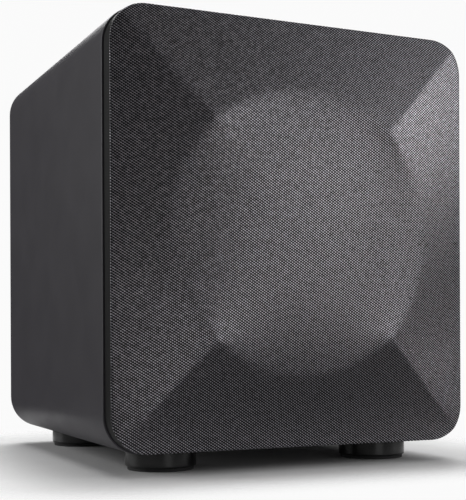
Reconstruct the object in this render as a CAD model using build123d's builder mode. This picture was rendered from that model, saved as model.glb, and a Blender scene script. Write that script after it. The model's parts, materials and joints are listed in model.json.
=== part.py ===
"""Compact sealed active subwoofer: a rounded cabinet on four feet, one long-throw woofer behind a faceted
fabric grille, and an amplifier module on the back.

The row frame is in millimetres: +X to the right seen from the front, the front faces -Y, +Z is up, and the
origin is the centre of the whole object's footprint, on the surface that it stands on.
"""

import os
from math import hypot

from build123d import *

# ---------------------------------------------------------------- driving dimensions, in millimetres
CABINET_WIDTH = 250.0
CABINET_HEIGHT = 270.0
CABINET_DEPTH = 240.0
CORNER_RADIUS = 24.0
WALL = 15.0
BAFFLE_THICKNESS = 18.0
BACK_THICKNESS = 15.0
REAR_EDGE_RADIUS = 4.0

FOOT_RADIUS = 22.5
FOOT_HEIGHT = 10.5
PAD_THICKNESS = 2.0
FOOT_SIDE_INSET = 47.0
FOOT_FRONT_INSET = 28.0
FOOT_REAR_INSET = 40.0

GRILLE_INSET = 1.2
GRILLE_GAP = 0.5
GRILLE_RIM = 12.6
GRILLE_RISE = 12.5
GRILLE_WALL = 3.0
GRILLE_HOLE_RADIUS = 89.5
CLOTH_THICKNESS = 0.8
TUCK_RADIUS = GRILLE_HOLE_RADIUS - CLOTH_THICKNESS - 0.3

PLATE_WIDTH = 176.0
PLATE_HEIGHT = 206.0
PLATE_THICKNESS = 2.5
SEAL_THICKNESS = 1.0
KNOB_RADIUS = 8.0
KNOB_HEIGHT = 11.0
KNOB_STANDOFF = 1.0
RUNNING_CLEARANCE = 0.05

# ---------------------------------------------------------------- places worked out from them
REAR_PROUD = SEAL_THICKNESS + PLATE_THICKNESS + KNOB_STANDOFF + KNOB_HEIGHT
TOTAL_DEPTH = GRILLE_RIM + GRILLE_RISE + CABINET_DEPTH + REAR_PROUD
FRONT_Y = GRILLE_RIM + GRILLE_RISE - TOTAL_DEPTH / 2
BACK_Y = FRONT_Y + CABINET_DEPTH
PLATE_Y = BACK_Y + SEAL_THICKNESS + PLATE_THICKNESS
UNDERSIDE_Z = FOOT_HEIGHT + PAD_THICKNESS
CENTRE_Z = UNDERSIDE_Z + CABINET_HEIGHT / 2
INSIDE_WIDTH = CABINET_WIDTH - 2 * WALL
INSIDE_HEIGHT = CABINET_HEIGHT - 2 * WALL
INSIDE_RADIUS = CORNER_RADIUS - WALL

FOOT_X = CABINET_WIDTH / 2 - FOOT_SIDE_INSET
FOOT_PLACES = [
    (x, y) for x in (-FOOT_X, FOOT_X) for y in (FRONT_Y + FOOT_FRONT_INSET, BACK_Y - FOOT_REAR_INSET)
]

GRILLE_HALF_W = CABINET_WIDTH / 2 - GRILLE_INSET
GRILLE_HALF_H = CABINET_HEIGHT / 2 - GRILLE_INSET
GRILLE_RADIUS = CORNER_RADIUS - GRILLE_INSET
APEX_RISE = GRILLE_RISE / (1 - TUCK_RADIUS / hypot(GRILLE_HALF_W, GRILLE_HALF_H))
CROWN_SHARE = 0.6

AXIS_OF_DRIVER = Axis((0, FRONT_Y, CENTRE_Z), (0, 1, 0))


def front_plane(depth, x=0.0, z=0.0):
    """A plane square to the driver's axis, facing forward, depth behind the cabinet's front edge."""
    return Plane(origin=(x, FRONT_Y + depth, CENTRE_Z + z), x_dir=(1, 0, 0), z_dir=(0, -1, 0))


def rear_plane(out, across=0.0, up=0.0):
    """A plane facing backward, out beyond the amplifier plate's outer face; across is to the right seen from behind."""
    return Plane(origin=(-across, PLATE_Y + out, CENTRE_Z + up), x_dir=(-1, 0, 0), z_dir=(0, 1, 0))


def radial_plane():
    """The half plane through the driver's axis: local x is the radius, local y the depth behind the front edge."""
    return Plane(origin=(0, FRONT_Y, CENTRE_Z), x_dir=(1, 0, 0), z_dir=(0, 0, 1))


def keep(part, name):
    """Labels a finished piece and writes its STEP file."""
    part.label = name
    export_step(part, f"parts/{name}.step")


def turned(points, name):
    """A piece turned about the driver's axis from a straight-sided (radius, depth) outline."""
    with BuildPart() as ring:
        with BuildSketch(radial_plane()):
            with BuildLine():
                Polyline(*points, close=True)
            make_face()
        revolve(axis=AXIS_OF_DRIVER)
    keep(ring.part, name)


os.makedirs("parts", exist_ok=True)

# ================================================================ cabinet
# Wrap: the four walls of board, bent or mitred to one rounded tube, with pilot holes for the foot screws.
FOOT_SCREW_RADIUS = 2.0
FOOT_SCREW_REACH = 12.0

with BuildPart() as cabinet_wrap:
    with BuildSketch(front_plane(0)):
        RectangleRounded(CABINET_WIDTH, CABINET_HEIGHT, CORNER_RADIUS)
    extrude(amount=-CABINET_DEPTH)
    back_rim = cabinet_wrap.faces().sort_by(Axis.Y)[-1].edges()
    fillet(back_rim, REAR_EDGE_RADIUS)
    front_rim = cabinet_wrap.faces().sort_by(Axis.Y)[0].edges()
    fillet(front_rim, 1.0)
    with BuildSketch(front_plane(0)):
        RectangleRounded(INSIDE_WIDTH, INSIDE_HEIGHT, INSIDE_RADIUS)
    extrude(amount=-CABINET_DEPTH, mode=Mode.SUBTRACT)
    with Locations(*[(x, y, UNDERSIDE_Z) for x, y in FOOT_PLACES]):
        Cylinder(
            FOOT_SCREW_RADIUS,
            FOOT_SCREW_REACH,
            align=(Align.CENTER, Align.CENTER, Align.MIN),
            mode=Mode.SUBTRACT,
        )
keep(cabinet_wrap.part, "cabinet_wrap")

# Front baffle: the driver's hole with its rebate, screw pilots, and four blind holes for the grille cups.
DRIVER_HOLE_RADIUS = 74.0
FLANGE_RADIUS = 90.0
FLANGE_THICKNESS = 3.0
DRIVER_SCREW_CIRCLE = 84.5
DRIVER_SCREW_COUNT = 8
DRIVER_SCREW_RADIUS = 2.0
DRIVER_SCREW_REACH = 14.0
CUP_X = 97.0
CUP_Z = 107.0
CUP_RADIUS = 5.5
CUP_DEPTH = 11.0

with BuildPart() as front_baffle:
    with BuildSketch(front_plane(0)):
        RectangleRounded(INSIDE_WIDTH, INSIDE_HEIGHT, INSIDE_RADIUS)
        Circle(DRIVER_HOLE_RADIUS, mode=Mode.SUBTRACT)
    extrude(amount=-BAFFLE_THICKNESS)
    with BuildSketch(front_plane(0)):
        Circle(FLANGE_RADIUS + 0.4)
    extrude(amount=-FLANGE_THICKNESS, mode=Mode.SUBTRACT)
    with BuildSketch(front_plane(FLANGE_THICKNESS)):
        with PolarLocations(DRIVER_SCREW_CIRCLE, DRIVER_SCREW_COUNT, start_angle=22.5):
            Circle(DRIVER_SCREW_RADIUS)
    extrude(amount=-(DRIVER_SCREW_REACH - FLANGE_THICKNESS), mode=Mode.SUBTRACT)
    with BuildSketch(front_plane(0)):
        with GridLocations(2 * CUP_X, 2 * CUP_Z, 2, 2):
            Circle(CUP_RADIUS)
    extrude(amount=-CUP_DEPTH, mode=Mode.SUBTRACT)
keep(front_baffle.part, "front_baffle")

# Back panel: cut out for the amplifier module, with pilots for its screws.
CUTOUT_WIDTH = 152.0
CUTOUT_HEIGHT = 182.0
AMP_SCREW_X = 82.0
AMP_SCREW_Z = 97.0
AMP_SCREW_RADIUS = 2.0
AMP_SCREW_REACH = 12.0
AMP_SCREWS = [
    (x, z) for x in (-AMP_SCREW_X, 0, AMP_SCREW_X) for z in (-AMP_SCREW_Z, 0, AMP_SCREW_Z) if (x, z) != (0, 0)
]

with BuildPart() as back_panel:
    with BuildSketch(front_plane(CABINET_DEPTH)):
        RectangleRounded(INSIDE_WIDTH, INSIDE_HEIGHT, INSIDE_RADIUS)
        RectangleRounded(CUTOUT_WIDTH, CUTOUT_HEIGHT, 6, mode=Mode.SUBTRACT)
        with Locations(*AMP_SCREWS):
            Circle(AMP_SCREW_RADIUS, mode=Mode.SUBTRACT)
    extrude(amount=BACK_THICKNESS)
keep(back_panel.part, "back_panel")

# Window brace: a stiffening frame across the middle of the cabinet.
BRACE_DEPTH = 106.0
BRACE_THICKNESS = 12.0

with BuildPart() as window_brace:
    with BuildSketch(front_plane(BRACE_DEPTH)):
        RectangleRounded(INSIDE_WIDTH, INSIDE_HEIGHT, INSIDE_RADIUS)
        RectangleRounded(164, 184, 30, mode=Mode.SUBTRACT)
    extrude(amount=-BRACE_THICKNESS)
keep(window_brace.part, "window_brace")

# Wadding: a soft polyester pad against each side wall, behind the brace.
PAD_WIDTH = 20.0
PAD_LENGTH = 96.0
PAD_HEIGHT = 210.0
PAD_CENTRE_Y = FRONT_Y + BRACE_DEPTH + BRACE_THICKNESS + 4 + PAD_LENGTH / 2

for side, name in ((-1, "wadding_left"), (1, "wadding_right")):
    with BuildPart(Plane((side * (INSIDE_WIDTH - PAD_WIDTH) / 2, PAD_CENTRE_Y, CENTRE_Z))) as wadding:
        Box(PAD_WIDTH, PAD_LENGTH, PAD_HEIGHT)
        fillet(wadding.edges(), 6)
    keep(wadding.part, name)

# ================================================================ feet
# Feet: turned discs with a rounded lower edge and a deep seat for the screw's head.
SCREW_SEAT = 5.5
with BuildPart(Plane.XY.offset(UNDERSIDE_Z)) as feet:
    with Locations(*FOOT_PLACES):
        Cylinder(FOOT_RADIUS, FOOT_HEIGHT, align=(Align.CENTER, Align.CENTER, Align.MAX))
    fillet(feet.edges().group_by(Axis.Z)[0], 1.2)
    with Locations(*[(x, y, -FOOT_HEIGHT) for x, y in FOOT_PLACES]):
        Cylinder(
            5.0, FOOT_HEIGHT - SCREW_SEAT, align=(Align.CENTER, Align.CENTER, Align.MIN), mode=Mode.SUBTRACT
        )
        Cylinder(
            FOOT_SCREW_RADIUS + 0.2, FOOT_HEIGHT, align=(Align.CENTER, Align.CENTER, Align.MIN), mode=Mode.SUBTRACT
        )
keep(feet.part, "feet")

with BuildPart() as foot_pads:
    with BuildSketch(Plane.XY):
        with Locations(*FOOT_PLACES):
            Circle(FOOT_RADIUS - 1.4)
            Circle(7.0, mode=Mode.SUBTRACT)
    extrude(amount=PAD_THICKNESS)
keep(foot_pads.part, "foot_pads")

with BuildPart() as foot_screws:
    for x, y in FOOT_PLACES:
        with Locations((x, y, UNDERSIDE_Z - SCREW_SEAT)):
            Cylinder(4.2, 3.0, align=(Align.CENTER, Align.CENTER, Align.MAX))
            Cylinder(
                FOOT_SCREW_RADIUS,
                SCREW_SEAT + FOOT_SCREW_REACH,
                align=(Align.CENTER, Align.CENTER, Align.MIN),
            )
keep(foot_screws.part, "foot_screws")

# ================================================================ driver
# Basket: pressed flange, open conical wall, landing for the spider, and the seat of the top plate.
BASKET_OUTLINE = [
    (70, 0),
    (FLANGE_RADIUS, 0),
    (FLANGE_RADIUS, FLANGE_THICKNESS),
    (72.5, FLANGE_THICKNESS),
    (72.5, 6.5),
    (57.5, 33),
    (57.5, 34.5),
    (48, 34.5),
    (48, 48),
    (24, 48),
    (24, 45.5),
    (45.5, 45.5),
    (45.5, 32),
    (55.3, 32),
    (70, 6),
]
SPOKES = 6

with BuildPart() as basket:
    with BuildSketch(radial_plane()):
        with BuildLine():
            Polyline(*BASKET_OUTLINE, close=True)
        make_face()
    revolve(axis=AXIS_OF_DRIVER)
    with BuildSketch(front_plane(29)):
        with PolarLocations(66, SPOKES, start_angle=30):
            RectangleRounded(36, 46, 6)
    extrude(amount=20, mode=Mode.SUBTRACT)
    with BuildSketch(front_plane(0)):
        with PolarLocations(DRIVER_SCREW_CIRCLE, DRIVER_SCREW_COUNT, start_angle=22.5):
            Circle(DRIVER_SCREW_RADIUS + 0.2)
    extrude(amount=-FLANGE_THICKNESS, mode=Mode.SUBTRACT)
keep(basket.part, "basket")

with BuildPart() as driver_screws:
    with BuildSketch(front_plane(0)):
        with PolarLocations(DRIVER_SCREW_CIRCLE, DRIVER_SCREW_COUNT, start_angle=22.5):
            Circle(3.6)
    extrude(amount=2.4)
    fillet(driver_screws.faces().sort_by(Axis.Y)[:DRIVER_SCREW_COUNT].edges(), 1.0)
    with BuildSketch(front_plane(0)):
        with PolarLocations(DRIVER_SCREW_CIRCLE, DRIVER_SCREW_COUNT, start_angle=22.5):
            Circle(DRIVER_SCREW_RADIUS)
    extrude(amount=-DRIVER_SCREW_REACH)
    with BuildSketch(front_plane(-2.4)):
        with PolarLocations(DRIVER_SCREW_CIRCLE, DRIVER_SCREW_COUNT, start_angle=22.5):
            Rectangle(4.2, 0.9)
            Rectangle(0.9, 4.2)
    extrude(amount=-1.2, mode=Mode.SUBTRACT)
keep(driver_screws.part, "driver_screws")

# Trim gasket over the surround's outer lip.
turned([(74.2, -4), (80.2, -4), (80.2, 0), (79.2, 0), (79.2, -1.2), (74.2, -1.2)], "driver_gasket")

# Surround: a half roll of rubber with an inner and an outer lip.
ROLL_CENTRE = 66.0
ROLL_OUTER = 7.6
ROLL_INNER = 6.4
LIP = 1.2
LIP_HALF_SPAN = (ROLL_OUTER**2 - LIP**2) ** 0.5

with BuildPart() as surround:
    with BuildSketch(radial_plane()):
        with BuildLine():
            Line((55, 0), (55, -LIP))
            Line((55, -LIP), (ROLL_CENTRE - LIP_HALF_SPAN, -LIP))
            ThreePointArc(
                (ROLL_CENTRE - LIP_HALF_SPAN, -LIP),
                (ROLL_CENTRE, -ROLL_OUTER),
                (ROLL_CENTRE + LIP_HALF_SPAN, -LIP),
            )
            Line((ROLL_CENTRE + LIP_HALF_SPAN, -LIP), (79, -LIP))
            Line((79, -LIP), (79, 0))
            Line((79, 0), (ROLL_CENTRE + ROLL_INNER, 0))
            ThreePointArc(
                (ROLL_CENTRE + ROLL_INNER, 0), (ROLL_CENTRE, -ROLL_INNER), (ROLL_CENTRE - ROLL_INNER, 0)
            )
            Line((ROLL_CENTRE - ROLL_INNER, 0), (55, 0))
        make_face()
    revolve(axis=AXIS_OF_DRIVER)
keep(surround.part, "surround")

# Cone and its flat glue lip, a glue line of 0.2 behind the surround's inner lip.
FORMER_INNER = 19.5
FORMER_OUTER = 19.9
turned([(FORMER_OUTER, 22), (55.4, 0.2), (59, 0.2), (59, 1.4), (55.8, 1.4), (FORMER_OUTER, 23.6)], "cone")

# Dust cap: a shallow dome glued inside the cone.
CAP_RIM = 26.0
CAP_DEPTH = 18.2
CAP_CROWN = 8.0
CAP_WALL = 0.8
CAP_BALL = (CAP_RIM**2 + CAP_CROWN**2) / (2 * CAP_CROWN)

with BuildPart(front_plane(CAP_DEPTH + CAP_BALL - CAP_CROWN)) as dust_cap:
    Sphere(CAP_BALL)
    Sphere(CAP_BALL - CAP_WALL, mode=Mode.SUBTRACT)
    split(bisect_by=front_plane(CAP_DEPTH), keep=Keep.TOP)
keep(dust_cap.part, "dust_cap")

# Voice coil former and winding.
turned([(FORMER_INNER, 21), (FORMER_OUTER, 21), (FORMER_OUTER, 66), (FORMER_INNER, 66)], "voice_coil_former")
turned([(FORMER_OUTER, 42), (20.7, 42), (20.7, 64), (FORMER_OUTER, 64)], "voice_coil")

# Spider: a corrugated cloth disc from the former to the basket's landing.
SPIDER_INNER = FORMER_OUTER + 0.2
SPIDER_OUTER = 54.0
SPIDER_THICKNESS = 0.8
RIDGES = 4
RIDGE_PITCH = 6.0
RIDGE_HEIGHT = 2.6

spider_top = [(SPIDER_INNER, 31.2)]
for ridge in range(RIDGES):
    start = 23.0 + ridge * RIDGE_PITCH
    spider_top += [(start, 31.2), (start + RIDGE_PITCH / 2, 31.2 - RIDGE_HEIGHT)]
spider_top += [(23.0 + RIDGES * RIDGE_PITCH, 31.2), (SPIDER_OUTER, 31.2)]
spider_back = [(r, depth + SPIDER_THICKNESS) for r, depth in reversed(spider_top)]
turned(spider_top + spider_back, "spider")

# Motor: top plate, ring magnet and vented pole yoke.
turned([(21.1, 48), (50, 48), (50, 56), (21.1, 56)], "top_plate")
turned([(30, 56), (55, 56), (55, 76), (30, 76)], "ring_magnet")
turned([(6, 48), (18.8, 48), (18.8, 76), (52, 76), (52, 84), (6, 84)], "pole_yoke")

# Terminals: a tag board under the basket's throat with two blade tags.
TAG_X = 5.0
TAG_Z = -53.5
with BuildPart() as driver_terminals:
    with BuildSketch(front_plane(44, 0, -49.5)):
        Rectangle(20, 3)
    extrude(amount=8)
    with BuildSketch(front_plane(42, 0, TAG_Z)):
        with GridLocations(2 * TAG_X, 0, 2, 1):
            Rectangle(4.8, 5)
    extrude(amount=0.8)
keep(driver_terminals.part, "driver_terminals")


def leads(points, radius, bend, name):
    """Two round leads side by side; each point is (distance from the middle, depth, height above the axis)."""
    with BuildPart() as pair:
        for side in (-1, 1):
            with BuildLine() as route:
                FilletPolyline(
                    *[(side * x, FRONT_Y + depth, CENTRE_Z + z) for x, depth, z in points], radius=bend
                )
            with BuildSketch(Plane(origin=route.line @ 0, z_dir=route.line % 0)):
                Circle(radius)
            sweep(path=route.line)
    keep(pair.part, name)


# Tinsel leads: braided wires from the tags, through a window of the basket, to the back of the cone.
TINSEL_ROUTE = [(TAG_X, 41.6, -56.1), (TAG_X, 40, -65), (TAG_X, 26, -65), (TAG_X, 19, -50), (TAG_X, 13.5, -40)]
leads(TINSEL_ROUTE, 0.7, 3.2, "tinsel_leads")

# ================================================================ grille
FRAME_FACE = GRILLE_RIM - CLOTH_THICKNESS


def faceted_block(half_w, half_h, radius, back, face):
    """A rounded block from back to face in front of the cabinet edge, crowned by a four-sided pyramid cut off flat."""
    crown = APEX_RISE * CROWN_SHARE
    left = 1 - CROWN_SHARE
    with BuildPart() as block:
        with BuildSketch(front_plane(-back)):
            Rectangle(2 * half_w, 2 * half_h)
        extrude(amount=face - back)
        with BuildSketch(front_plane(-face)):
            Rectangle(2 * half_w, 2 * half_h)
        with BuildSketch(front_plane(-face - crown)):
            Rectangle(2 * (half_w - GRILLE_HALF_W * CROWN_SHARE), 2 * (half_h - GRILLE_HALF_H * CROWN_SHARE))
        loft()
        with BuildSketch(front_plane(-back)):
            RectangleRounded(2 * half_w, 2 * half_h, radius)
        extrude(amount=face - back + crown, mode=Mode.INTERSECT)
    return block.part


FRONT_REACH = 40.0
RING_LIFT = 5.0
BOSS_RADIUS = 6.0
PEG_RADIUS = 3.0
PEG_SEAT = 3.0
PEG_GRIP = 8.0

outer_block = faceted_block(GRILLE_HALF_W, GRILLE_HALF_H, GRILLE_RADIUS, GRILLE_GAP, FRAME_FACE)
cavity = faceted_block(
    GRILLE_HALF_W - GRILLE_WALL,
    GRILLE_HALF_H - GRILLE_WALL,
    GRILLE_RADIUS - GRILLE_WALL,
    GRILLE_GAP,
    FRAME_FACE - GRILLE_WALL,
)

# Frame: moulded shell with a rim, four facets, a ring round the driver's opening and a boss for each peg.
with BuildPart() as hollow:
    add(cavity)
    with BuildSketch(front_plane(0)):
        Circle(GRILLE_HOLE_RADIUS + GRILLE_WALL)
        with GridLocations(2 * CUP_X, 2 * CUP_Z, 2, 2):
            Circle(BOSS_RADIUS)
    extrude(amount=FRONT_REACH, mode=Mode.SUBTRACT)

with BuildPart() as grille_frame:
    add(outer_block)
    add(hollow.part, mode=Mode.SUBTRACT)
    with BuildSketch(front_plane(0)):
        Circle(GRILLE_HOLE_RADIUS)
    extrude(amount=FRONT_REACH, mode=Mode.SUBTRACT)
    with BuildSketch(front_plane(0)):
        Circle(GRILLE_HOLE_RADIUS + GRILLE_WALL + 0.5)
    extrude(amount=RING_LIFT, mode=Mode.SUBTRACT)
    with BuildSketch(front_plane(0)):
        with GridLocations(2 * CUP_X, 2 * CUP_Z, 2, 2):
            Circle(BOSS_RADIUS + 0.5)
    extrude(amount=PEG_SEAT, mode=Mode.SUBTRACT)
    with BuildSketch(front_plane(-PEG_SEAT)):
        with GridLocations(2 * CUP_X, 2 * CUP_Z, 2, 2):
            Circle(PEG_RADIUS)
    extrude(amount=PEG_GRIP, mode=Mode.SUBTRACT)
keep(grille_frame.part, "grille_frame")

# Cloth: a thin skin over the facets, tucked into the opening and carried flat across it.
DISC_FACE = GRILLE_RIM + APEX_RISE * (1 - GRILLE_HOLE_RADIUS / GRILLE_HALF_W)
cloth_block = faceted_block(GRILLE_HALF_W, GRILLE_HALF_H, GRILLE_RADIUS, GRILLE_GAP, GRILLE_RIM)

with BuildPart() as grille_fabric:
    add(cloth_block)
    add(outer_block, mode=Mode.SUBTRACT)
    with BuildSketch(front_plane(CLOTH_THICKNESS - DISC_FACE)):
        Circle(TUCK_RADIUS + CLOTH_THICKNESS)
    extrude(amount=FRONT_REACH)
    add(cloth_block, mode=Mode.INTERSECT)
    with BuildSketch(front_plane(-DISC_FACE)):
        Circle(TUCK_RADIUS)
    extrude(amount=FRONT_REACH, mode=Mode.SUBTRACT)
keep(grille_fabric.part, "grille_fabric")

# Pegs: plain pins with bevelled tips, pressed into the frame's bosses.
PEG_TIP = 9.5
with BuildPart() as grille_pegs:
    with BuildSketch(front_plane(PEG_TIP)):
        with GridLocations(2 * CUP_X, 2 * CUP_Z, 2, 2):
            Circle(PEG_RADIUS)
    extrude(amount=PEG_TIP + PEG_SEAT + PEG_GRIP)
    chamfer(grille_pegs.edges().group_by(Axis.Y)[-1], 0.8)
keep(grille_pegs.part, "grille_pegs")

# Cups: rubber sleeves with a flange, set in the baffle, that grip the pegs.
CUP_FLANGE_RADIUS = 7.5
CUP_FLANGE = 1.0
with BuildPart() as grille_cups:
    with BuildSketch(front_plane(CUP_DEPTH)):
        with GridLocations(2 * CUP_X, 2 * CUP_Z, 2, 2):
            Circle(CUP_RADIUS)
    extrude(amount=CUP_DEPTH)
    with BuildSketch(front_plane(0)):
        with GridLocations(2 * CUP_X, 2 * CUP_Z, 2, 2):
            Circle(CUP_FLANGE_RADIUS)
    extrude(amount=CUP_FLANGE)
    with BuildSketch(front_plane(-CUP_FLANGE)):
        with GridLocations(2 * CUP_X, 2 * CUP_Z, 2, 2):
            Circle(PEG_RADIUS + 2 * RUNNING_CLEARANCE)
    extrude(amount=-(CUP_FLANGE + PEG_TIP + 0.5), mode=Mode.SUBTRACT)
keep(grille_cups.part, "grille_cups")

# ================================================================ amplifier module: plate and what sits on it
# Places on the plate are (across, up) from its middle, seen from behind.
VOLUME_PLACE = (-52, 66)
CROSSOVER_PLACE = (-12, 66)
PHASE_PLACE = (30, 66)
MODE_PLACE = (60, 66)
JACK_PLACES = [(-57, 36), (-35, 36)]
LENS_PLACE = (60, 36)
SINK_PLACE = (0, -6)
INLET_PLACE = (-44, -64)
ROCKER_PLACE = (-6, -64)

BUSH_RADIUS = 3.5
BUSH_LENGTH = 5.0
SLOT_HEIGHT = 4.4
PHASE_TRAVEL = 4.0
MODE_TRAVEL = 6.0
LEVER_WIDTH = 4.4
LEVER_HEIGHT = 4.0
LEVER_GAP = 0.3
JACK_RADIUS = 4.15
LENS_RADIUS = 1.5
INLET_WIDTH = 27.6
INLET_HEIGHT = 32.0
INLET_REACH = 22.0
ROCKER_CASE_WIDTH = 13.6
ROCKER_CASE_HEIGHT = 19.6

with BuildPart() as amp_seal:
    with BuildSketch(rear_plane(-PLATE_THICKNESS)):
        RectangleRounded(PLATE_WIDTH - 2, PLATE_HEIGHT - 2, 7)
        RectangleRounded(CUTOUT_WIDTH, CUTOUT_HEIGHT, 6, mode=Mode.SUBTRACT)
        with Locations(*AMP_SCREWS):
            Circle(AMP_SCREW_RADIUS + 0.2, mode=Mode.SUBTRACT)
    extrude(amount=-SEAL_THICKNESS)
keep(amp_seal.part, "amp_seal")

with BuildPart() as amp_plate:
    with BuildSketch(rear_plane(0)):
        RectangleRounded(PLATE_WIDTH, PLATE_HEIGHT, 8)
        with Locations(*AMP_SCREWS):
            Circle(AMP_SCREW_RADIUS + 0.2, mode=Mode.SUBTRACT)
        with Locations(VOLUME_PLACE, CROSSOVER_PLACE):
            Circle(BUSH_RADIUS, mode=Mode.SUBTRACT)
        with Locations(PHASE_PLACE):
            Rectangle(LEVER_WIDTH + PHASE_TRAVEL + 2 * LEVER_GAP, SLOT_HEIGHT + LEVER_GAP, mode=Mode.SUBTRACT)
        with Locations(MODE_PLACE):
            Rectangle(LEVER_WIDTH + MODE_TRAVEL + 2 * LEVER_GAP, SLOT_HEIGHT + LEVER_GAP, mode=Mode.SUBTRACT)
        with Locations(*JACK_PLACES):
            Circle(JACK_RADIUS, mode=Mode.SUBTRACT)
        with Locations(LENS_PLACE):
            Circle(LENS_RADIUS, mode=Mode.SUBTRACT)
        with Locations(INLET_PLACE):
            Rectangle(INLET_WIDTH, INLET_HEIGHT, mode=Mode.SUBTRACT)
        with Locations(ROCKER_PLACE):
            Rectangle(ROCKER_CASE_WIDTH, ROCKER_CASE_HEIGHT, mode=Mode.SUBTRACT)
    extrude(amount=-PLATE_THICKNESS)
keep(amp_plate.part, "amp_plate")

with BuildPart() as amp_screws:
    with BuildSketch(rear_plane(0)):
        with Locations(*AMP_SCREWS):
            Circle(3.8)
    extrude(amount=2.2)
    fillet(amp_screws.edges().group_by(Axis.Y)[-1], 0.9)
    with BuildSketch(rear_plane(0)):
        with Locations(*AMP_SCREWS):
            Circle(AMP_SCREW_RADIUS)
    extrude(amount=-(PLATE_THICKNESS + SEAL_THICKNESS + AMP_SCREW_REACH))
    with BuildSketch(rear_plane(2.2)):
        with Locations(*AMP_SCREWS):
            Rectangle(4.4, 1.0)
            Rectangle(1.0, 4.4)
    extrude(amount=-1.2, mode=Mode.SUBTRACT)
keep(amp_screws.part, "amp_screws")

# Rotary controls: a case behind the plate, a bush through it, and a knob whose shaft turns in the bush.
SHAFT_RADIUS = 3.0
SHAFT_END = 8.0
CASE_DEPTH = 8.0
KNOB_WEB = 6.0
KNOB_RECESS_RADIUS = 6.6
RIDGES_ROUND_KNOB = 20

with BuildPart() as rotary_controls:
    with BuildSketch(rear_plane(-PLATE_THICKNESS)):
        with Locations(VOLUME_PLACE, CROSSOVER_PLACE):
            Rectangle(16, 16)
    extrude(amount=-CASE_DEPTH)
    with BuildSketch(rear_plane(-PLATE_THICKNESS)):
        with Locations(VOLUME_PLACE, CROSSOVER_PLACE):
            Circle(BUSH_RADIUS)
    extrude(amount=PLATE_THICKNESS + BUSH_LENGTH)
    with BuildSketch(rear_plane(BUSH_LENGTH)):
        with Locations(VOLUME_PLACE, CROSSOVER_PLACE):
            Circle(SHAFT_RADIUS + RUNNING_CLEARANCE)
    extrude(amount=-(BUSH_LENGTH + SHAFT_END + 0.4), mode=Mode.SUBTRACT)
keep(rotary_controls.part, "rotary_controls")

for (across, up), knob_name in ((VOLUME_PLACE, "volume_knob"), (CROSSOVER_PLACE, "crossover_knob")):
    with BuildPart() as knob:
        with BuildSketch(rear_plane(KNOB_STANDOFF, across, up)):
            Circle(KNOB_RADIUS)
            with PolarLocations(KNOB_RADIUS + 0.35, RIDGES_ROUND_KNOB):
                Circle(0.8, mode=Mode.SUBTRACT)
        extrude(amount=KNOB_HEIGHT)
        chamfer(knob.edges().group_by(Axis.Y)[-1], 0.5)
        with BuildSketch(rear_plane(KNOB_STANDOFF, across, up)):
            Circle(KNOB_RECESS_RADIUS)
        extrude(amount=KNOB_WEB - KNOB_STANDOFF, mode=Mode.SUBTRACT)
        with BuildSketch(rear_plane(KNOB_WEB, across, up)):
            Circle(SHAFT_RADIUS)
        extrude(amount=-(KNOB_WEB + SHAFT_END))
        with BuildSketch(rear_plane(KNOB_STANDOFF + KNOB_HEIGHT, across, up)):
            with Locations((0, KNOB_RADIUS - 3.4)):
                Rectangle(1.0, 4.6)
        extrude(amount=-0.6, mode=Mode.SUBTRACT)
    keep(knob.part, knob_name)

with BuildPart() as control_nuts:
    with BuildSketch(rear_plane(0)):
        with Locations(VOLUME_PLACE, CROSSOVER_PLACE):
            RegularPolygon(5.6, 6)
            Circle(BUSH_RADIUS, mode=Mode.SUBTRACT)
    extrude(amount=2.2)
keep(control_nuts.part, "control_nuts")

# Slide switches: a case behind the plate and a square lever that stands through the plate's slot.
LEVER_OUT = 3.0
LEVER_IN = 7.0

SLIDE_SWITCHES = (
    (PHASE_PLACE, PHASE_TRAVEL, -PHASE_TRAVEL / 2, "phase_lever"),
    (MODE_PLACE, MODE_TRAVEL, 0, "mode_lever"),
)

with BuildPart() as slide_switches:
    for place, travel, _, _ in SLIDE_SWITCHES:
        slot_width = LEVER_WIDTH + travel + 2 * LEVER_GAP
        with BuildSketch(rear_plane(-PLATE_THICKNESS, *place)):
            RectangleRounded(slot_width + 8, 9, 0.8)
        extrude(amount=-7.5)
        with BuildSketch(rear_plane(-PLATE_THICKNESS, *place)):
            Rectangle(slot_width, SLOT_HEIGHT + LEVER_GAP)
        extrude(amount=-(LEVER_IN - PLATE_THICKNESS + 0.5), mode=Mode.SUBTRACT)
keep(slide_switches.part, "slide_switches")

for (across, up), travel, rest, lever_name in SLIDE_SWITCHES:
    with BuildPart() as lever:
        with BuildSketch(rear_plane(-LEVER_IN, across + rest, up)):
            Rectangle(LEVER_WIDTH, LEVER_HEIGHT)
        extrude(amount=LEVER_IN + LEVER_OUT)
        with BuildSketch(rear_plane(LEVER_OUT, across + rest, up)):
            with GridLocations(1.3, 0, 3, 1):
                Rectangle(0.5, LEVER_HEIGHT)
        extrude(amount=-0.5, mode=Mode.SUBTRACT)
    keep(lever.part, lever_name)

# Signal jacks: flanged metal barrels with a plastic core, carried by a block behind the plate.
JACK_LENGTH = 9.0
CORE_RADIUS = 3.3
CONTACT_RADIUS = 1.6

with BuildPart() as jack_block:
    with BuildSketch(rear_plane(-PLATE_THICKNESS)):
        with Locations((sum(x for x, _ in JACK_PLACES) / 2, JACK_PLACES[0][1])):
            RectangleRounded(38, 15, 1)
    extrude(amount=-10)
keep(jack_block.part, "jack_block")

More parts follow.
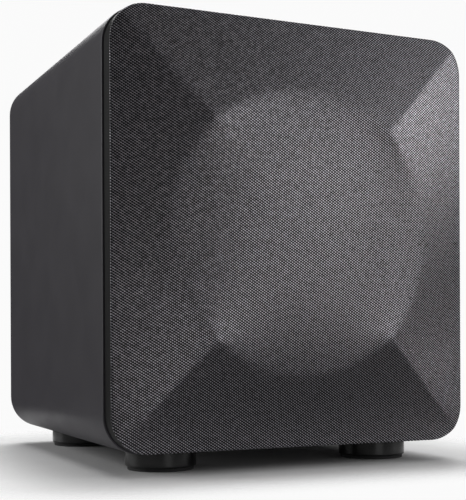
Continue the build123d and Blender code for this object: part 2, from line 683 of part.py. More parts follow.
with BuildPart() as jack_barrels:
    with BuildSketch(rear_plane(-PLATE_THICKNESS)):
        with Locations(*JACK_PLACES):
            Circle(JACK_RADIUS)
    extrude(amount=PLATE_THICKNESS + JACK_LENGTH)
    chamfer(jack_barrels.edges().group_by(Axis.Y)[-1], 0.3)
    with BuildSketch(rear_plane(0)):
        with Locations(*JACK_PLACES):
            Circle(5.6)
    extrude(amount=1.0)
    with BuildSketch(rear_plane(JACK_LENGTH)):
        with Locations(*JACK_PLACES):
            Circle(CORE_RADIUS)
    extrude(amount=-(PLATE_THICKNESS + JACK_LENGTH), mode=Mode.SUBTRACT)
keep(jack_barrels.part, "jack_barrels")

with BuildPart() as jack_cores:
    with BuildSketch(rear_plane(-PLATE_THICKNESS)):
        with Locations(*JACK_PLACES):
            Circle(CORE_RADIUS)
    extrude(amount=PLATE_THICKNESS + JACK_LENGTH - 0.5)
    with BuildSketch(rear_plane(JACK_LENGTH - 0.5)):
        with Locations(*JACK_PLACES):
            Circle(CONTACT_RADIUS)
    extrude(amount=-8.0, mode=Mode.SUBTRACT)
keep(jack_cores.part, "jack_cores")

# Status lens: a short light pipe with a domed end.
with BuildPart() as status_lens:
    with BuildSketch(rear_plane(-8, *LENS_PLACE)):
        Circle(LENS_RADIUS)
    extrude(amount=9.2)
    fillet(status_lens.edges().group_by(Axis.Y)[-1], 1.0)
keep(status_lens.part, "status_lens")

# Heat sink: upright fins on a base.
FIN_COUNT = 15
FIN_PITCH = 8.0
FIN_REACH = 12.0
with BuildPart() as heat_sink:
    with BuildSketch(rear_plane(0, *SINK_PLACE)):
        Rectangle((FIN_COUNT - 1) * FIN_PITCH + 6, 46)
    extrude(amount=3.0)
    with BuildSketch(rear_plane(3.0, *SINK_PLACE)):
        with GridLocations(FIN_PITCH, 0, FIN_COUNT, 1):
            Rectangle(2.0, 46)
    extrude(amount=FIN_REACH - 3.0)
keep(heat_sink.part, "heat_sink")

# Mains inlet: flanged housing, a plug cavity with three blades, and a pocket below for the fuse drawer.
CAVITY_PLACE = (INLET_PLACE[0], INLET_PLACE[1] + 5.2)
CAVITY_WIDTH = 24.4
CAVITY_HEIGHT = 16.6
CAVITY_DEPTH = 17.5
INLET_FLANGE = 2.5
DRAWER_PLACE = (INLET_PLACE[0], INLET_PLACE[1] - 10.4)
DRAWER_WIDTH = 23.6
DRAWER_HEIGHT = 8.0
DRAWER_REACH = 14.0
DRAWER_LIP = 1.5
BLADE_TIP = 3.0

with BuildPart() as mains_inlet:
    with BuildSketch(rear_plane(0, *INLET_PLACE)):
        RectangleRounded(INLET_WIDTH + 5, INLET_HEIGHT + 5, 2.5)
    extrude(amount=INLET_FLANGE)
    with BuildSketch(rear_plane(0, *INLET_PLACE)):
        Rectangle(INLET_WIDTH, INLET_HEIGHT)
    extrude(amount=-INLET_REACH)
    with BuildSketch(rear_plane(INLET_FLANGE, *CAVITY_PLACE)):
        plug_outline = Rectangle(CAVITY_WIDTH, CAVITY_HEIGHT)
        chamfer(plug_outline.vertices().group_by(Axis.Y)[-1], 4.0)
    extrude(amount=-CAVITY_DEPTH, mode=Mode.SUBTRACT)
    with BuildSketch(rear_plane(INLET_FLANGE, *DRAWER_PLACE)):
        Rectangle(DRAWER_WIDTH + 0.6, DRAWER_HEIGHT + 0.6)
    extrude(amount=-(INLET_FLANGE + DRAWER_REACH + 0.5), mode=Mode.SUBTRACT)
keep(mains_inlet.part, "mains_inlet")

with BuildPart() as inlet_blades:
    with BuildSketch(rear_plane(INLET_FLANGE - CAVITY_DEPTH, *CAVITY_PLACE)):
        with Locations((-7, -2), (7, -2), (0, 2)):
            Rectangle(2.0, 4.0)
    extrude(amount=CAVITY_DEPTH - BLADE_TIP)
    chamfer(inlet_blades.edges().group_by(Axis.Y)[-1], 0.4)
keep(inlet_blades.part, "inlet_blades")

with BuildPart() as fuse_drawer:
    with BuildSketch(rear_plane(INLET_FLANGE, *DRAWER_PLACE)):
        RectangleRounded(DRAWER_WIDTH + 3, DRAWER_HEIGHT + 2.4, 1)
    extrude(amount=DRAWER_LIP)
    with BuildSketch(rear_plane(INLET_FLANGE, *DRAWER_PLACE)):
        Rectangle(DRAWER_WIDTH, DRAWER_HEIGHT)
    extrude(amount=-(INLET_FLANGE + DRAWER_REACH))
    with BuildSketch(rear_plane(-3, DRAWER_PLACE[0], DRAWER_PLACE[1] + 1.2)):
        Rectangle(20.6, DRAWER_HEIGHT - 2.4)
    extrude(amount=-(DRAWER_REACH - 5), mode=Mode.SUBTRACT)
    with BuildSketch(rear_plane(INLET_FLANGE + DRAWER_LIP, *DRAWER_PLACE)):
        Rectangle(9, 3)
    extrude(amount=-0.8, mode=Mode.SUBTRACT)
keep(fuse_drawer.part, "fuse_drawer")

FUSE_RADIUS = 2.5
with BuildPart(Plane((-DRAWER_PLACE[0], PLATE_Y - 6.5, CENTRE_Z + DRAWER_PLACE[1] + 0.9))) as fuse:
    Cylinder(FUSE_RADIUS, 20, rotation=(0, 90, 0))
keep(fuse.part, "fuse")

# Power rocker: a flanged case with a well, and a see-saw cap on two short pins.
ROCKER_WIDTH = 10.4
ROCKER_HALF = 7.4
ROCKER_TILT = -8.0
ROCKER_PIVOT_IN = 1.0
PIN_RADIUS = 1.0
WELL_WIDTH = 11.0
WELL_HEIGHT = 17.0

rocker_plane = Plane(
    origin=(-ROCKER_PLACE[0], PLATE_Y - ROCKER_PIVOT_IN, CENTRE_Z + ROCKER_PLACE[1]),
    x_dir=Vector(0, 1, 0).rotate(Axis.X, ROCKER_TILT),
    z_dir=(1, 0, 0),
)

with BuildPart() as rocker_case:
    with BuildSketch(rear_plane(0, *ROCKER_PLACE)):
        RectangleRounded(ROCKER_CASE_WIDTH + 3, ROCKER_CASE_HEIGHT + 3, 1.5)
    extrude(amount=1.5)
    with BuildSketch(rear_plane(0, *ROCKER_PLACE)):
        Rectangle(ROCKER_CASE_WIDTH, ROCKER_CASE_HEIGHT)
    extrude(amount=-12)
    with BuildSketch(rear_plane(1.5, *ROCKER_PLACE)):
        Rectangle(WELL_WIDTH, WELL_HEIGHT)
    extrude(amount=-9, mode=Mode.SUBTRACT)
    with BuildSketch(rocker_plane):
        Circle(PIN_RADIUS + RUNNING_CLEARANCE)
    extrude(amount=WELL_WIDTH / 2 + 0.8, both=True, mode=Mode.SUBTRACT)
keep(rocker_case.part, "rocker_case")

with BuildPart() as power_rocker:
    with BuildSketch(rocker_plane):
        with BuildLine():
            Polyline(
                (4.2, -ROCKER_HALF),
                (2.2, 0),
                (4.2, ROCKER_HALF),
                (-1.0, ROCKER_HALF),
                (-4.2, 3.0),
                (-4.2, -3.0),
                (-1.0, -ROCKER_HALF),
                close=True,
            )
        make_face()
    extrude(amount=ROCKER_WIDTH / 2, both=True)
    with BuildSketch(rocker_plane):
        Circle(PIN_RADIUS)
    extrude(amount=WELL_WIDTH / 2 + 0.6, both=True)
keep(power_rocker.part, "power_rocker")

# ================================================================ amplifier module: boards behind the plate
BOARD_THICKNESS = 1.6
MAIN_BOARD_OUT = -16.0
MAIN_BOARD_PLACE = (0, 38)
SUPPLY_BOARD_OUT = -26.0
SUPPLY_BOARD_PLACE = (24, -48)


def board_corners(place, width, height):
    """The four spacer places of a board, 5 mm in from its edges."""
    across, up = place
    return [(across + sx * (width / 2 - 5), up + sz * (height / 2 - 5)) for sx in (-1, 1) for sz in (-1, 1)]


MAIN_CORNERS = board_corners(MAIN_BOARD_PLACE, 146, 96)
SUPPLY_CORNERS = board_corners(SUPPLY_BOARD_PLACE, 96, 68)

for name, out, place, width, height, corners in (
    ("main_board", MAIN_BOARD_OUT, MAIN_BOARD_PLACE, 146, 96, MAIN_CORNERS),
    ("supply_board", SUPPLY_BOARD_OUT, SUPPLY_BOARD_PLACE, 96, 68, SUPPLY_CORNERS),
):
    with BuildPart() as board:
        with BuildSketch(rear_plane(out)):
            with Locations(place):
                Rectangle(width, height)
            with Locations(*corners):
                Circle(1.6, mode=Mode.SUBTRACT)
        extrude(amount=-BOARD_THICKNESS)
    keep(board.part, name)

with BuildPart() as board_spacers:
    with BuildSketch(rear_plane(-PLATE_THICKNESS)):
        with Locations(*MAIN_CORNERS):
            RegularPolygon(3.2, 6)
    extrude(amount=MAIN_BOARD_OUT + PLATE_THICKNESS)
    with BuildSketch(rear_plane(-PLATE_THICKNESS)):
        with Locations(*SUPPLY_CORNERS):
            RegularPolygon(3.2, 6)
    extrude(amount=SUPPLY_BOARD_OUT + PLATE_THICKNESS)
keep(board_spacers.part, "board_spacers")

with BuildPart() as board_screws:
    for out, corners in ((MAIN_BOARD_OUT, MAIN_CORNERS), (SUPPLY_BOARD_OUT, SUPPLY_CORNERS)):
        with BuildSketch(rear_plane(out - BOARD_THICKNESS)):
            with Locations(*corners):
                Circle(2.8)
        extrude(amount=-2.0)
        with BuildSketch(rear_plane(out - BOARD_THICKNESS)):
            with Locations(*corners):
                Circle(1.5)
        extrude(amount=BOARD_THICKNESS)
keep(board_screws.part, "board_screws")

# Transformer: a laminated core with two windows and a winding round its middle leg.
SUPPLY_FACE = SUPPLY_BOARD_OUT - BOARD_THICKNESS
CORE_PLACE = (44, -44)
CORE_WIDTH = 48.0
CORE_STACK = 26.0
CORE_DEPTH = 38.0
LEG = 16.0
WINDOW = 8.0
WINDOW_DEPTH = 24.0

with BuildPart() as transformer_core:
    with BuildSketch(rear_plane(SUPPLY_FACE, *CORE_PLACE)):
        Rectangle(CORE_WIDTH, CORE_STACK)
    extrude(amount=-CORE_DEPTH)
    with BuildSketch(rear_plane(SUPPLY_FACE - (CORE_DEPTH - WINDOW_DEPTH) / 2, *CORE_PLACE)):
        with GridLocations(LEG + WINDOW, 0, 2, 1):
            Rectangle(WINDOW, CORE_STACK)
    extrude(amount=-WINDOW_DEPTH, mode=Mode.SUBTRACT)
keep(transformer_core.part, "transformer_core")

with BuildPart() as transformer_winding:
    with BuildSketch(rear_plane(SUPPLY_FACE - (CORE_DEPTH - WINDOW_DEPTH) / 2 - 0.3, *CORE_PLACE)):
        RectangleRounded(LEG + 2 * WINDOW - 0.6, CORE_STACK + 13, 5)
        Rectangle(LEG + 0.4, CORE_STACK + 0.4, mode=Mode.SUBTRACT)
    extrude(amount=-(WINDOW_DEPTH - 0.6))
keep(transformer_winding.part, "transformer_winding")

with BuildPart() as reservoir_capacitors:
    with BuildSketch(rear_plane(SUPPLY_FACE)):
        with Locations((4, -34), (4, -62)):
            Circle(11)
    extrude(amount=-32)
    fillet(reservoir_capacitors.edges().group_by(Axis.Y)[0], 1.2)
keep(reservoir_capacitors.part, "reservoir_capacitors")

MAIN_FACE = MAIN_BOARD_OUT - BOARD_THICKNESS
with BuildPart() as power_chips:
    with BuildSketch(rear_plane(MAIN_FACE)):
        with Locations((-20, 62), (20, 62)):
            Rectangle(20, 15)
    extrude(amount=-5)
keep(power_chips.part, "power_chips")

with BuildPart() as filter_coils:
    with BuildSketch(rear_plane(MAIN_FACE)):
        with Locations((-20, 34), (20, 34)):
            Circle(12)
            Circle(5, mode=Mode.SUBTRACT)
    extrude(amount=-11)
    fillet(filter_coils.edges(), 2.2)
keep(filter_coils.part, "filter_coils")

with BuildPart() as board_sockets:
    with BuildSketch(rear_plane(MAIN_FACE)):
        with Locations((0, 2), (-44, 2), (-44, 62)):
            Rectangle(16, 8)
    extrude(amount=-9)
keep(board_sockets.part, "board_sockets")

# Driver leads: from the driver's tags, down round the magnet and back up to the socket on the main board.
SOCKET_DEPTH = PLATE_Y + MAIN_FACE - 9 - FRONT_Y
LEAD_ROUTE = [
    (TAG_X, 42, TAG_Z),
    (TAG_X, 47, TAG_Z),
    (TAG_X, 53, -64),
    (TAG_X, 84, -66),
    (TAG_X, 130, -62),
    (TAG_X, 165, -18),
    (4, SOCKET_DEPTH - 12, 2),
    (4, SOCKET_DEPTH, 2),
]
leads(LEAD_ROUTE, 1.2, 4.0, "driver_leads")
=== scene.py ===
"""A compact active subwoofer: a satin-wrapped cabinet on four feet, a woofer behind a faceted cloth grille,
and an amplifier plate on the back. Lengths are metres, and MM turns a size in millimetres into them."""

import json
import math

import bmesh
import bpy
import numpy as np
from mathutils import Matrix, Vector


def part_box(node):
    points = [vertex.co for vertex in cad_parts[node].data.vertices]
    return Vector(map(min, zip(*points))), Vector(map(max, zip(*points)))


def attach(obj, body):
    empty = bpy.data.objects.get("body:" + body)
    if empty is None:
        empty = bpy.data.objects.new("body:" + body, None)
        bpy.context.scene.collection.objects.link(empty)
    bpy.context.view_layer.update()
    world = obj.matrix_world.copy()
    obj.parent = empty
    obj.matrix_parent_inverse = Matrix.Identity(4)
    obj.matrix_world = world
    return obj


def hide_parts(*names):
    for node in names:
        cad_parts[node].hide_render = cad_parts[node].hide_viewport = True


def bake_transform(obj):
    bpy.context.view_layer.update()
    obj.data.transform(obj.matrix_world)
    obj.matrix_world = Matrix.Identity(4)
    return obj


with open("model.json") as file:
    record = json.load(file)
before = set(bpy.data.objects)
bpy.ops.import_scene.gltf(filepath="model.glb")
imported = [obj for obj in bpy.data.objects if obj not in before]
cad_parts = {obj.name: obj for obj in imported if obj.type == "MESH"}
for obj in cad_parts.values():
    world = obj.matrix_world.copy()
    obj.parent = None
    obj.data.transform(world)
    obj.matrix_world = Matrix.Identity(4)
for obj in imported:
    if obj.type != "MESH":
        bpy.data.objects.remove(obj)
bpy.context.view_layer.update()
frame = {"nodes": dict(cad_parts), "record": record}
NODES = frame["nodes"]
MM = 0.001
TURN = 2 * math.pi

# ---------------------------------------------------------------- places taken from the frame
CLOTH_LOW, CLOTH_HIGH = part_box("grille_fabric")
CABINET_LOW, CABINET_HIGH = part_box("cabinet_wrap")
CENTRE_Z = (CABINET_LOW.z + CABINET_HIGH.z) / 2
HALF_WIDTH = (CLOTH_HIGH.x - CLOTH_LOW.x) / 2
HALF_HEIGHT = (CLOTH_HIGH.z - CLOTH_LOW.z) / 2
FRONT_Y = CABINET_LOW.y

# ---------------------------------------------------------------- camera
# A long lens low in front of the left edge, level, with its frame shifted up to hold the cabinet.
CAMERA_PLACE = Vector((-0.3245, -0.7370, 0.0847))
CAMERA_HEADING = Vector((0.4161, 0.9093, 0.0)).normalized()
CAMERA_ROLL = math.radians(0.245)
CAMERA_LENS = 78.66
CAMERA_SHIFT = 0.169
CAMERA_NEAR = 0.01


def look_from(place, heading, roll=0.0):
    """A matrix at place whose -Z runs along heading, with its X level and then turned by roll."""
    ahead = heading.normalized()
    side = ahead.cross(Vector((0, 0, 1))).normalized()
    top = side.cross(ahead)
    side_rolled = side * math.cos(roll) - top * math.sin(roll)
    top_rolled = top * math.cos(roll) + side * math.sin(roll)
    turn = Matrix((side_rolled, top_rolled, -ahead)).transposed()
    return Matrix.Translation(place) @ turn.to_4x4()


camera = bpy.data.objects.new("camera", bpy.data.cameras.new("camera"))
bpy.context.scene.collection.objects.link(camera)
camera.data.lens = CAMERA_LENS
camera.data.shift_y = CAMERA_SHIFT
camera.data.clip_start = CAMERA_NEAR
camera.matrix_world = look_from(CAMERA_PLACE, CAMERA_HEADING, CAMERA_ROLL)
bpy.context.scene.camera = camera


# ---------------------------------------------------------------- shader helpers
# Grained finishes: share of the wide noise, and the spans of the mixed noise that tone and roughness run over.
WANDER_SHARE = 0.4
TONE_SPAN = (0.35, 0.65)
ROUGH_SPAN = (0.3, 0.7)
# Waved finishes: sizes in millimetres of the threads' drift and of their thick and thin places, how far those raise
# or lower a thread, and the heights between which a crown starts to shine and shines fully.
DRIFT_SIZE = 7
SLUB_SIZE = 2.5
SLUB_REACH = 0.3
CROWN_SPAN = (0.45, 0.85)


def linear(colour):
    """Turns an sRGB hex colour into the linear one that the shaders take, by the sRGB standard's curve."""
    srgb = np.array([int(colour[i : i + 2], 16) for i in (1, 3, 5)]) / 255
    rgb = np.where(srgb <= 0.04045, srgb / 12.92, ((srgb + 0.055) / 1.055) ** 2.4)
    return (*rgb.tolist(), 1.0)


def add(tree, kind, settings=(), links=()):
    """Adds a node. A setting is keyed by an input's name or number, or by a property's name; a link by its input."""
    node = tree.nodes.new(kind)
    for key, value in dict(settings).items():
        if isinstance(key, int) or key in node.inputs:
            node.inputs[key].default_value = value
        else:
            setattr(node, key, value)
    for key, socket in dict(links).items():
        tree.links.new(socket, node.inputs[key])
    return node


def start(name):
    """A new material with an empty node tree, and its Texture Coordinate node."""
    material = bpy.data.materials.new(name)
    material.use_nodes = True
    material.node_tree.nodes.clear()
    return material, material.node_tree, add(material.node_tree, "ShaderNodeTexCoord")


def close(tree, shader, colour, roughness, relief, height, further=()):
    """Ends a tree: a principled shader with its constant sockets, colour and roughness, further links by input, and
    relief mm of bump that follow height."""
    bump = add(tree, "ShaderNodeBump", {"Strength": 1.0, "Distance": relief * MM}, {"Height": height})
    body = add(
        tree,
        "ShaderNodeBsdfPrincipled",
        {key.replace("_", " "): value for key, value in shader.items()},
        {"Base Color": colour, "Roughness": roughness, "Normal": bump.outputs["Normal"], **dict(further)},
    )
    add(tree, "ShaderNodeOutputMaterial", links={"Surface": body.outputs["BSDF"]})


def grained(name, deep, light, grain, relief, rough, stretch=(1, 1, 1), wander=12.0, **shader):
    """A finish whose tone, roughness and relief follow one noise, grain mm across, drawn out along an axis by stretch,
    mixed with a wander that many times wider."""
    material, tree, where = start(name)
    run = add(tree, "ShaderNodeMapping", {"Scale": stretch}, {"Vector": where.outputs["Object"]})
    fine = add(
        tree,
        "ShaderNodeTexNoise",
        {"Scale": 1 / (grain * MM), "Detail": 3.0, "Roughness": 0.55},
        {"Vector": run.outputs["Vector"]},
    )
    slow = add(
        tree,
        "ShaderNodeTexNoise",
        {"Scale": 1 / (grain * wander * MM), "Detail": 2.0},
        {"Vector": where.outputs["Object"]},
    )
    both = add(tree, "ShaderNodeMix", {0: WANDER_SHARE}, {2: fine.outputs["Fac"], 3: slow.outputs["Fac"]})
    tone = add(
        tree,
        "ShaderNodeMapRange",
        {"From Min": TONE_SPAN[0], "From Max": TONE_SPAN[1]},
        {"Value": both.outputs[0]},
    )
    colour = add(
        tree,
        "ShaderNodeMix",
        {"data_type": "RGBA", 6: linear(deep), 7: linear(light)},
        {0: tone.outputs["Result"]},
    )
    roughness = add(
        tree,
        "ShaderNodeMapRange",
        {"From Min": ROUGH_SPAN[0], "From Max": ROUGH_SPAN[1], "To Min": rough[0], "To Max": rough[1]},
        {"Value": both.outputs[0]},
    )
    close(tree, shader, colour.outputs[2], roughness.outputs["Result"], relief, fine.outputs["Fac"])
    return material


def waved(name, waves, stops, relief, rough, wobble=0.0, glint=0.0, **shader):
    """A laid or woven finish: a sum of cosine waves over the object's X, Y and Z, each given as (crest spacing in mm,
    direction, share), coloured through stops, with threads that wobble by that part of a wave. Its crowns shine up to
    glint, as a metallic share."""
    material, tree, where = start(name)
    drift = add(
        tree,
        "ShaderNodeTexNoise",
        {"Scale": 1 / (DRIFT_SIZE * MM), "Detail": 2.0},
        {"Vector": where.outputs["Object"]},
    )
    total = None
    for spacing, direction, share in waves:
        along = Vector(direction).normalized() * (TURN / (spacing * MM))
        phase = add(
            tree,
            "ShaderNodeVectorMath",
            {"operation": "DOT_PRODUCT", 1: along},
            {0: where.outputs["Object"]},
        )
        drifted = add(
            tree,
            "ShaderNodeMath",
            {"operation": "MULTIPLY_ADD", 1: wobble * TURN},
            {0: drift.outputs["Fac"], 2: phase.outputs["Value"]},
        )
        crest = add(tree, "ShaderNodeMath", {"operation": "COSINE"}, {0: drifted.outputs[0]})
        links = {0: crest.outputs[0]} if total is None else {0: crest.outputs[0], 2: total}
        sum_so_far = add(tree, "ShaderNodeMath", {"operation": "MULTIPLY_ADD", 1: share, 2: 0.0}, links)
        total = sum_so_far.outputs[0]
    reach = sum(share for spacing, direction, share in waves)
    height = add(
        tree,
        "ShaderNodeMapRange",
        {"From Min": -reach, "From Max": reach},
        {"Value": total},
    )
    slub = add(
        tree,
        "ShaderNodeTexNoise",
        {"Scale": 1 / (SLUB_SIZE * MM), "Detail": 3.0},
        {"Vector": where.outputs["Object"]},
    )
    uneven = add(
        tree,
        "ShaderNodeMath",
        {"operation": "MULTIPLY_ADD", 1: SLUB_REACH, 2: -SLUB_REACH / 2},
        {0: slub.outputs["Fac"]},
    )
    lit = add(
        tree,
        "ShaderNodeMath",
        {"operation": "ADD", "use_clamp": True},
        {0: height.outputs["Result"], 1: uneven.outputs[0]},
    )
    ramp = add(tree, "ShaderNodeValToRGB", links={"Fac": lit.outputs[0]})
    while len(ramp.color_ramp.elements) < len(stops):
        ramp.color_ramp.elements.new(0.5)
    for element, (place, shade) in zip(ramp.color_ramp.elements, stops):
        element.position = place
        element.color = linear(shade)
    roughness = add(
        tree,
        "ShaderNodeMapRange",
        {"To Min": rough[0], "To Max": rough[1]},
        {"Value": lit.outputs[0]},
    )
    links = {}
    if glint:
        crown = add(
            tree,
            "ShaderNodeMapRange",
            {"From Min": CROWN_SPAN[0], "From Max": CROWN_SPAN[1], "To Max": glint},
            {"Value": lit.outputs[0]},
        )
        links = {"Metallic": crown.outputs["Result"]}
    close(tree, shader, ramp.outputs["Color"], roughness.outputs["Result"], relief, lit.outputs[0], links)
    return material


# ---------------------------------------------------------------- finishes
# One for each slot of the record, and two more, for the floor's paper and the printed ink. Each starts from the real
# material; the comment says what it gives the eye. Grain and relief are in millimetres.
# IOR shared by the rubbers, by nylon, ABS and PVC, and by the paints, coats and films.
RUBBER = 1.52
PLASTIC = 1.53
VARNISH = 1.50


def slanting(degrees):
    """The direction in the grille's own plane that rises by that angle from X."""
    return math.cos(math.radians(degrees)), 0, math.sin(math.radians(degrees))


